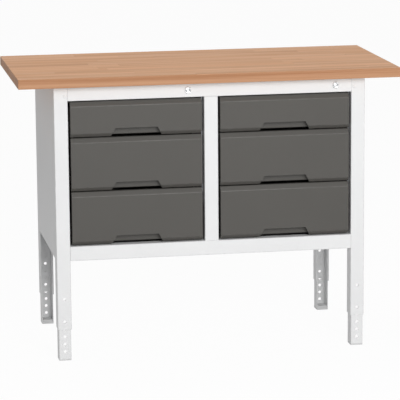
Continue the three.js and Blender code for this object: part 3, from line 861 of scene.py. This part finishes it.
# Locks: a chromed housing pressed into the top rail, and a barrel with a key slot that turns in it.
# A pin on the disc at the barrel's inner end lifts the locking bar.
chrome = bpy.data.materials.new("polished_chrome")
chrome.use_nodes = True
chrome_nodes = chrome.node_tree.nodes
chrome_links = chrome.node_tree.links
chrome_skin = chrome_nodes["Principled BSDF"]
chrome_skin.inputs["Metallic"].default_value = 1.0
chrome_place = chrome_nodes.new("ShaderNodeTexCoord")
chrome_rub = chrome_nodes.new("ShaderNodeTexNoise")
chrome_rub.inputs["Scale"].default_value = 350.0
chrome_rub.inputs["Detail"].default_value = 6.0
chrome_tone = chrome_nodes.new("ShaderNodeMix")
chrome_tone.data_type = "RGBA"
chrome_tone.inputs[6].default_value = (0.720, 0.730, 0.740, 1.0)
chrome_tone.inputs[7].default_value = (0.840, 0.845, 0.850, 1.0)
chrome_sheen = chrome_nodes.new("ShaderNodeMapRange")
chrome_sheen.inputs["To Min"].default_value = 0.10
chrome_sheen.inputs["To Max"].default_value = 0.26
chrome_links.new(chrome_place.outputs["Object"], chrome_rub.inputs["Vector"])
chrome_links.new(chrome_rub.outputs["Fac"], chrome_tone.inputs[0])
chrome_links.new(chrome_tone.outputs[2], chrome_skin.inputs["Base Color"])
chrome_links.new(chrome_rub.outputs["Fac"], chrome_sheen.inputs["Value"])
chrome_links.new(chrome_sheen.outputs[0], chrome_skin.inputs["Roughness"])
turned_sides = 48


def turned(outline, place, closed):
    """Turns an outline about an axis along y through a place; an open one gets flat ends."""
    shape = bmesh.new()
    shape.faces.layers.float.new("worn_edge")
    x, y, z = place
    turns = [2 * math.pi * k / turned_sides for k in range(turned_sides)]
    rings = []
    for radius, behind in outline:
        rings.append([
            shape.verts.new((x + radius * math.cos(turn), y + behind, z + radius * math.sin(turn)))
            for turn in turns
        ])
    pairs = list(zip(rings, rings[1:]))
    if closed:
        pairs.append((rings[-1], rings[0]))
    else:
        shape.faces.new(rings[0])
        shape.faces.new(rings[-1])
    for first, second in pairs:
        for k in range(turned_sides):
            after = (k + 1) % turned_sides
            shape.faces.new((first[k], first[after], second[after], second[k]))
    bmesh.ops.recalc_face_normals(shape, faces=shape.faces)
    return shape


def turned_piece(name, shape, material):
    """A turned shape as an object: smooth round its axis, sharp at its steps."""
    mesh = bpy.data.meshes.new(name)
    shape.to_mesh(mesh)
    shape.free()
    mesh.materials.append(material)
    for face in mesh.polygons:
        face.use_smooth = True
    mesh.set_sharp_from_angle(angle=math.radians(32))
    piece = bpy.data.objects.new(name, mesh)
    bpy.context.scene.collection.objects.link(piece)
    return piece


# Outlines of the locks give (radius, distance behind the face of the rail), the key slot gives (x, z).
bore_radius = 0.0063
housing_radius = 0.0090
housing_back = 0.0280
bezel_radius = 0.0110
bezel_front = -0.0030
housing_outline = [
    (bore_radius, housing_back), (housing_radius - 0.0002, housing_back),
    (housing_radius, housing_back - 0.0002), (housing_radius, 0.0),
    (bezel_radius, 0.0), (bezel_radius, -0.0014), (0.01085, -0.0020), (0.0105, -0.0026),
    (0.0100, bezel_front), (0.0074, bezel_front), (0.0066, -0.0026), (bore_radius, -0.0020),
]
barrel_radius = 0.0060
barrel_front = -0.0025
disc_radius = 0.0110
disc_front = 0.0283
disc_back = 0.0303
barrel_outline = [
    (0.0054, barrel_front), (0.0058, -0.0023), (barrel_radius, -0.0018), (barrel_radius, disc_front),
    (0.0108, disc_front), (disc_radius, 0.0285), (disc_radius, 0.0301), (0.0108, disc_back),
]
pin_radius = 0.0025
pin_offset = 0.0056569
pin_outline = [(pin_radius, 0.0290), (pin_radius, 0.0380), (0.0022, 0.0384)]
key_outline = [
    (-0.0010, -0.0040), (0.0010, -0.0040), (0.0010, 0.0012), (0.0018, 0.0020),
    (0.0018, 0.0034), (0.0010, 0.0040), (-0.0010, 0.0040),
]
key_cut = (-0.0040, 0.0035)
for side in sides:
    lock_x, lock_y, lock_z = lock_place[side]
    housing = turned(housing_outline, lock_place[side], True)
    housing_piece = turned_piece("lock_housing_" + side + "_turned", housing, chrome)
    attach(housing_piece, "frame")
    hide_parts("lock_housing_" + side)

    plug = turned(barrel_outline, lock_place[side], False)
    pin = turned(pin_outline, (lock_x - pin_offset, lock_y, lock_z - pin_offset), False)
    key_slot = [(lock_x + x, lock_z + z) for x, z in key_outline]
    key_ends = (lock_y + key_cut[0], lock_y + key_cut[1])
    key_cutter = drawn_out(key_slot, y_axis, *key_ends, [0.0] * len(key_slot))
    barrel = gathered([cut_out(plug, [key_cutter]), pin])
    barrel_piece = turned_piece("lock_barrel_" + side + "_turned", barrel, chrome)
    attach(barrel_piece, "lock_" + side)
    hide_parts("lock_barrel_" + side)

# Fixings: button head screws with a six-sided socket, all of one pattern. Coated ones close the top
# corners of the face frame; plated ones hold the runners to the walls and the fronts to the trays.
screws = bpy.data.node_groups.new("button_head_screws", "GeometryNodeTree")
screws.is_modifier = True
screws.interface.new_socket("Geometry", in_out="INPUT", socket_type="NodeSocketGeometry")
for size in ("Head Radius", "Head Height", "Socket Radius"):
    screws.interface.new_socket(size, in_out="INPUT", socket_type="NodeSocketFloat")
screws.interface.new_socket("Turn Seed", in_out="INPUT", socket_type="NodeSocketInt")
screws.interface.new_socket("Finish", in_out="INPUT", socket_type="NodeSocketMaterial")
screws.interface.new_socket("Geometry", in_out="OUTPUT", socket_type="NodeSocketGeometry")
screw_in = screws.nodes.new("NodeGroupInput")
screw_out = screws.nodes.new("NodeGroupOutput")
head = screws.nodes.new("GeometryNodeMeshCone")
head.inputs["Vertices"].default_value = 24
crown_share = 0.68
narrower = screws.nodes.new("ShaderNodeMath")
narrower.operation = "MULTIPLY"
narrower.inputs[1].default_value = crown_share
screws.links.new(screw_in.outputs["Head Radius"], narrower.inputs[0])
screws.links.new(narrower.outputs[0], head.inputs["Radius Top"])
screws.links.new(screw_in.outputs["Head Radius"], head.inputs["Radius Bottom"])
screws.links.new(screw_in.outputs["Head Height"], head.inputs["Depth"])
socket_cut = screws.nodes.new("GeometryNodeMeshCylinder")
socket_cut.inputs["Vertices"].default_value = 6
screws.links.new(screw_in.outputs["Socket Radius"], socket_cut.inputs["Radius"])
screws.links.new(screw_in.outputs["Head Height"], socket_cut.inputs["Depth"])
socket_rise = screws.nodes.new("ShaderNodeCombineXYZ")
screws.links.new(screw_in.outputs["Head Height"], socket_rise.inputs["Z"])
socket_place = screws.nodes.new("GeometryNodeTransform")
screws.links.new(socket_cut.outputs["Mesh"], socket_place.inputs["Geometry"])
screws.links.new(socket_rise.outputs[0], socket_place.inputs["Translation"])
drilled = screws.nodes.new("GeometryNodeMeshBoolean")
drilled.operation = "DIFFERENCE"
screws.links.new(head.outputs["Mesh"], drilled.inputs["Mesh 1"])
screws.links.new(socket_place.outputs["Geometry"], drilled.inputs["Mesh 2"])
facing_out = screws.nodes.new("GeometryNodeInputNamedAttribute")
facing_out.data_type = "FLOAT_VECTOR"
facing_out.inputs["Name"].default_value = "facing"
upright = screws.nodes.new("FunctionNodeAlignRotationToVector")
upright.axis = "Z"
screws.links.new(facing_out.outputs["Attribute"], upright.inputs["Vector"])
set_in = screws.nodes.new("GeometryNodeInstanceOnPoints")
screws.links.new(screw_in.outputs["Geometry"], set_in.inputs["Points"])
screws.links.new(drilled.outputs["Mesh"], set_in.inputs["Instance"])
screws.links.new(upright.outputs["Rotation"], set_in.inputs["Rotation"])
any_turn = screws.nodes.new("FunctionNodeRandomValue")
any_turn.data_type = "FLOAT"
any_turn.inputs["Max"].default_value = math.pi
screws.links.new(screw_in.outputs["Turn Seed"], any_turn.inputs["Seed"])
turn_about = screws.nodes.new("ShaderNodeCombineXYZ")
screws.links.new(any_turn.outputs["Value"], turn_about.inputs["Z"])
driven = screws.nodes.new("GeometryNodeRotateInstances")
screws.links.new(set_in.outputs["Instances"], driven.inputs["Instances"])
screws.links.new(turn_about.outputs[0], driven.inputs["Rotation"])
made_real = screws.nodes.new("GeometryNodeRealizeInstances")
screws.links.new(driven.outputs["Instances"], made_real.inputs["Geometry"])
coated = screws.nodes.new("GeometryNodeSetMaterial")
screws.links.new(made_real.outputs["Geometry"], coated.inputs["Geometry"])
screws.links.new(screw_in.outputs["Finish"], coated.inputs["Material"])
screws.links.new(coated.outputs["Geometry"], screw_out.inputs["Geometry"])


def drive_screws(name, places, sizes, seed, material, body):
    """Sets a screw at each (place, facing) pair and makes them one plain mesh on a body."""
    head_radius, head_height, socket_radius = sizes
    points = bpy.data.meshes.new(name)
    points.from_pydata([place for place, _ in places], [], [])
    outward = points.attributes.new("facing", "FLOAT_VECTOR", "POINT")
    for mark, (_, facing_way) in zip(outward.data, places):
        mark.vector = facing_way
    holder = bpy.data.objects.new(name + "_points", points)
    bpy.context.scene.collection.objects.link(holder)
    maker = holder.modifiers.new("screws", "NODES")
    maker.node_group = screws
    wanted = {
        "Head Radius": head_radius, "Head Height": head_height, "Socket Radius": socket_radius,
        "Turn Seed": seed, "Finish": material,
    }
    for socket in screws.interface.items_tree:
        if socket.in_out == "INPUT" and socket.name in wanted:
            maker[socket.identifier] = wanted[socket.name]
    depsgraph = bpy.context.evaluated_depsgraph_get()
    mesh = bpy.data.meshes.new_from_object(holder.evaluated_get(depsgraph))
    mesh.name = name
    holder.modifiers.remove(maker)
    bpy.data.objects.remove(holder)
    piece = bpy.data.objects.new(name, mesh)
    bpy.context.scene.collection.objects.link(piece)
    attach(piece, body)


# Sizes of a screw: radius and height of its head, and radius of the socket in it.
large_screw = (0.0046, 0.0018, 0.0016)
small_screw = (0.0042, 0.0016, 0.0014)
corner_screw_x = 0.4746
corner_screw_z = 0.868
corner_screws = [((x, face_y, corner_screw_z), (0, -1, 0)) for x in (-corner_screw_x, corner_screw_x)]
drive_screws("corner_screws", corner_screws, large_screw, 3, light_coat, "frame")
runner_screw_shares = (0.06, 0.5, 0.94)  # of the runner's length
runner_screws = []
for side in sides:
    for level in levels:
        for hand, out in (("l", 1), ("r", -1)):
            runner_low, runner_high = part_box(f"runner_{side}_{level}_{hand}")
            wall_x = runner_low.x if out > 0 else runner_high.x
            for share in runner_screw_shares:
                screw_y = runner_low.y + share * (runner_high.y - runner_low.y)
                screw_z = (runner_low.z + runner_high.z) / 2
                runner_screws.append(((wall_x + out * thin_sheet, screw_y, screw_z), (out, 0, 0)))
drive_screws("runner_screws", runner_screws, small_screw, 11, zinc, "frame")
front_screw_x = 0.165
front_screw_edge = 0.022
for side in sides:
    for level in levels:
        node_low, node_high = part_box(f"drawer_tray_{side}_{level}")
        inside_y = node_low.y + thin_sheet
        front_screws = []
        for x in (bay_centre[side] - front_screw_x, bay_centre[side] + front_screw_x):
            for z in (node_low.z + front_screw_edge, node_high.z - front_screw_edge):
                front_screws.append(((x, inside_y, z), (0, 1, 0)))
        drive_screws(
            f"front_screws_{side}_{level}", front_screws, large_screw, 5, zinc,
            f"drawer_{side}_{level}",
        )

# Rivets: a row of blind rivets holds the back sheet to the rear rail, and a column of them to the
# edge of the partition. Each head keeps a small hole, and they are painted over with the frame.
rivet_head = (0.0036, 0.0010, 0.0010)
row_pitch = 0.11
row_below_top = 0.0235
column_pitch = 0.09
column_start = 0.04
back_low, back_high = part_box("back_panel")
rivets = []
for k in range(-4, 5):
    rivets.append(((row_pitch * k, back_high.y, back_high.z - row_below_top), (0, 1, 0)))
for k in range(5):
    rivets.append(((0.0, back_high.y, back_low.z + column_start + column_pitch * k), (0, 1, 0)))
drive_screws("back_rivets", rivets, rivet_head, 7, light_coat, "frame")
